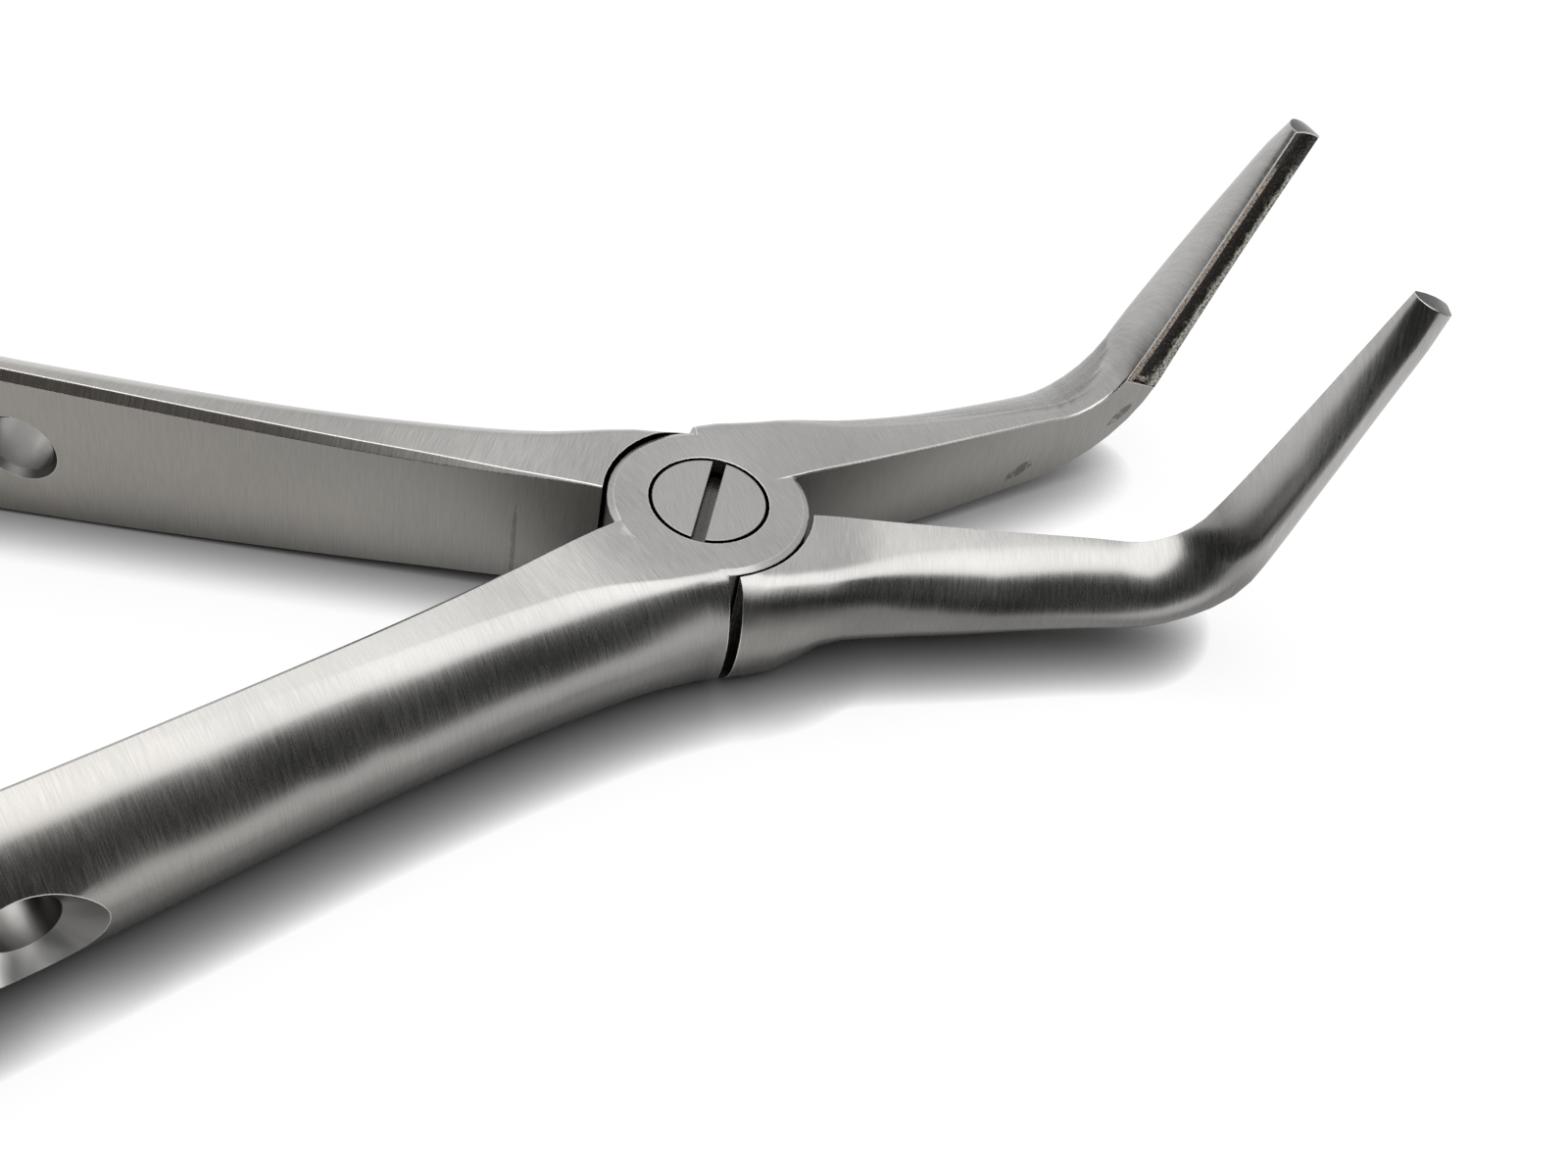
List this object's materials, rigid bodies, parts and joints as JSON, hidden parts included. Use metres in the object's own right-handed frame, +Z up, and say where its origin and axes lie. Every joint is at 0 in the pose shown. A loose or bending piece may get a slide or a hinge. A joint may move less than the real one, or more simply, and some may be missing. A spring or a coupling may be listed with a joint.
{
  "type": "dental extraction forceps",
  "caption": "Dental extraction forceps: steel halves crossing in a lap joint on a slotted screw, pierced handles behind and upturned beaks with grit-lined grooved gripping faces.",
  "frame": {"origin": "on the pivot axis, in the flat underside of the joint", "axes": "+Z up the pivot axis towards the screw head, +X towards the beaks along the line that halves the opening"},
  "size_m": [0.1531, 0.0894, 0.0404],
  "materials": {
    "satin_steel": "satin brushed stainless steel, the fine grain running across the handles",
    "screw_steel": "turned stainless steel with a ground flat head and a dull slot",
    "grit": "dark hard grit bonded in a light nickel layer, worn light along the rims"
  },
  "bodies": {
    "lower": {"lower_half": "satin_steel", "pivot_screw": "screw_steel", "lower_beak_grit": "grit"},
    "upper": {"upper_half": "satin_steel", "upper_beak_grit": "grit"}
  },
  "joints": [
    {"name": "pivot", "type": "hinge", "parent": "lower", "child": "upper", "pos_m": [0, 0, 0.0047], "axis": [0, 0, 1], "range_deg": [-24, 4.5]}
  ]
}
